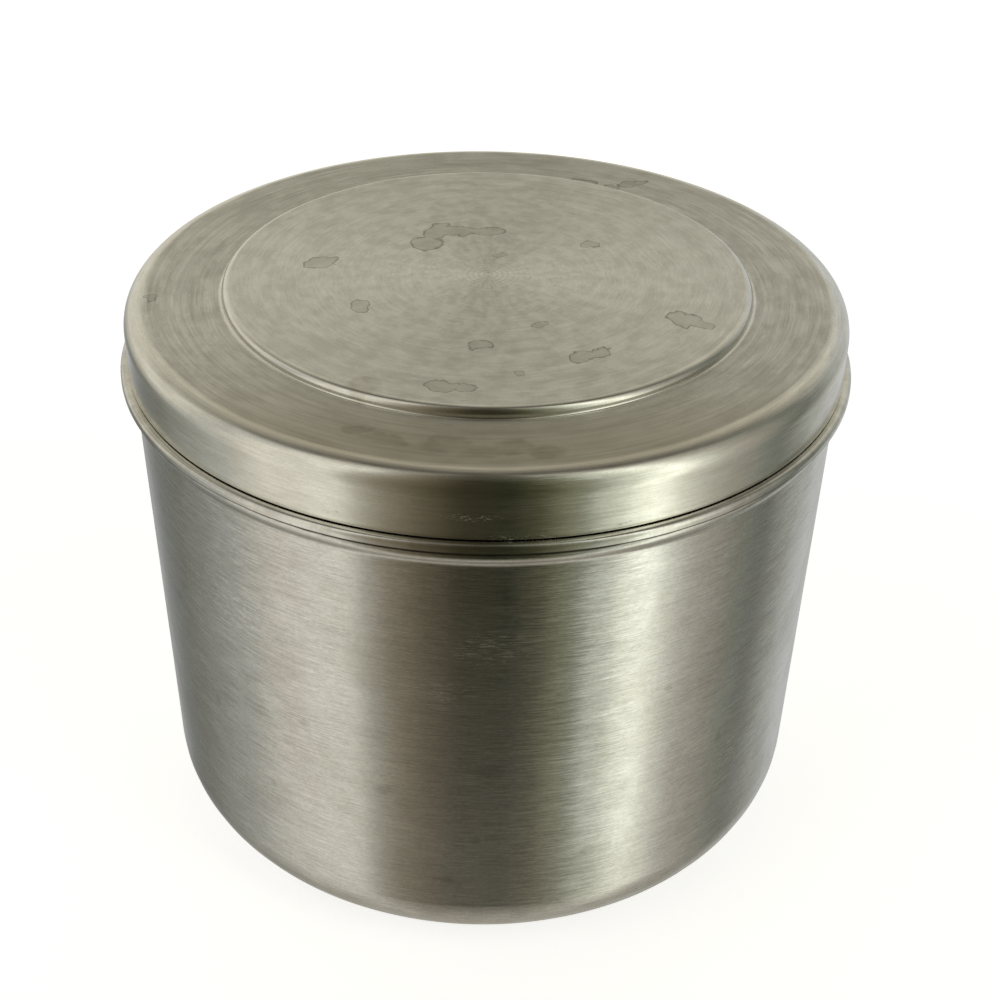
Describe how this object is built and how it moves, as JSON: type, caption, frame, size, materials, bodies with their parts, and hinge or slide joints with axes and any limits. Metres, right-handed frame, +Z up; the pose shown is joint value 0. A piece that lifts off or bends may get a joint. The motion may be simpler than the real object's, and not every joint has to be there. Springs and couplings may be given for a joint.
{
  "type": "round spice box",
  "caption": "Round deep stainless steel spice box with a push-on lid, a loose inner lid with a ring handle, loose round cups and small spoons.",
  "frame": {"origin": "middle of the flat resting face under the box", "axes": "+Z up along the box's axis, towards the lid; +X to the right and +Y to the back, with a cup on +X"},
  "size_m": [0.2044, 0.2044, 0.1657],
  "materials": {
    "box_steel": "spun stainless steel, satin, with fine lines round the axis",
    "rim_steel": "rolled stainless strip, satin, dull on its ledge",
    "lid_steel": "pressed and spun stainless steel, worn satin with dried water marks",
    "inner_steel": "spun stainless steel, brighter satin",
    "wire_steel": "drawn stainless wire and strap, polished",
    "spoon_steel": "stamped stainless steel, polished"
  },
  "bodies": {
    "box": {"box_body": "box_steel", "neck_ring": "rim_steel"},
    "lid": {"lid": "lid_steel"},
    "inner_lid": {"inner_lid": "inner_steel", "handle_strap": "wire_steel"},
    "handle_ring": {"handle_ring": "wire_steel"},
    "spoon_1": {"spoon_1": "spoon_steel"},
    "spoon_2": {"spoon_2": "spoon_steel"},
    "cup_centre": {"cup_centre": "inner_steel"},
    "cup_1": {"cup_1": "inner_steel"},
    "cup_2": {"cup_2": "inner_steel"},
    "cup_3": {"cup_3": "inner_steel"},
    "cup_4": {"cup_4": "inner_steel"},
    "cup_5": {"cup_5": "inner_steel"},
    "cup_6": {"cup_6": "inner_steel"}
  },
  "joints": [
    {"name": "lid_lift", "type": "slide", "parent": "box", "child": "lid", "axis": [0, 0, 1], "range_m": [0, 0.32]},
    {"name": "inner_lid_lift", "type": "slide", "parent": "box", "child": "inner_lid", "axis": [0, 0, 1], "range_m": [0, 0.208]},
    {"name": "handle_ring_swing", "type": "hinge", "parent": "inner_lid", "child": "handle_ring", "pos_m": [0, 0, 0.1233], "axis": [-1, 0, 0], "range_deg": [0, 180]},
    {"name": "spoon_1_lift", "type": "slide", "parent": "box", "child": "spoon_1", "axis": [0, 0, 1], "range_m": [0, 0.24]},
    {"name": "spoon_2_lift", "type": "slide", "parent": "box", "child": "spoon_2", "axis": [0, 0, 1], "range_m": [0, 0.24]},
    {"name": "cup_centre_lift", "type": "slide", "parent": "box", "child": "cup_centre", "axis": [0, 0, 1], "range_m": [0, 0.16]},
    {"name": "cup_1_lift", "type": "slide", "parent": "box", "child": "cup_1", "axis": [0, 0, 1], "range_m": [0, 0.16]},
    {"name": "cup_2_lift", "type": "slide", "parent": "box", "child": "cup_2", "axis": [0, 0, 1], "range_m": [0, 0.16]},
    {"name": "cup_3_lift", "type": "slide", "parent": "box", "child": "cup_3", "axis": [0, 0, 1], "range_m": [0, 0.16]},
    {"name": "cup_4_lift", "type": "slide", "parent": "box", "child": "cup_4", "axis": [0, 0, 1], "range_m": [0, 0.16]},
    {"name": "cup_5_lift", "type": "slide", "parent": "box", "child": "cup_5", "axis": [0, 0, 1], "range_m": [0, 0.16]},
    {"name": "cup_6_lift", "type": "slide", "parent": "box", "child": "cup_6", "axis": [0, 0, 1], "range_m": [0, 0.16]}
  ],
  "couplings": [
    {"joint": "inner_lid_lift", "follows": "lid_lift", "ratio": 0.65},
    {"joint": "spoon_1_lift", "follows": "lid_lift", "ratio": 0.75},
    {"joint": "spoon_2_lift", "follows": "lid_lift", "ratio": 0.75},
    {"joint": "cup_centre_lift", "follows": "lid_lift", "ratio": 0.5},
    {"joint": "cup_1_lift", "follows": "lid_lift", "ratio": 0.5},
    {"joint": "cup_2_lift", "follows": "lid_lift", "ratio": 0.5},
    {"joint": "cup_3_lift", "follows": "lid_lift", "ratio": 0.5},
    {"joint": "cup_4_lift", "follows": "lid_lift", "ratio": 0.5},
    {"joint": "cup_5_lift", "follows": "lid_lift", "ratio": 0.5},
    {"joint": "cup_6_lift", "follows": "lid_lift", "ratio": 0.5}
  ]
}
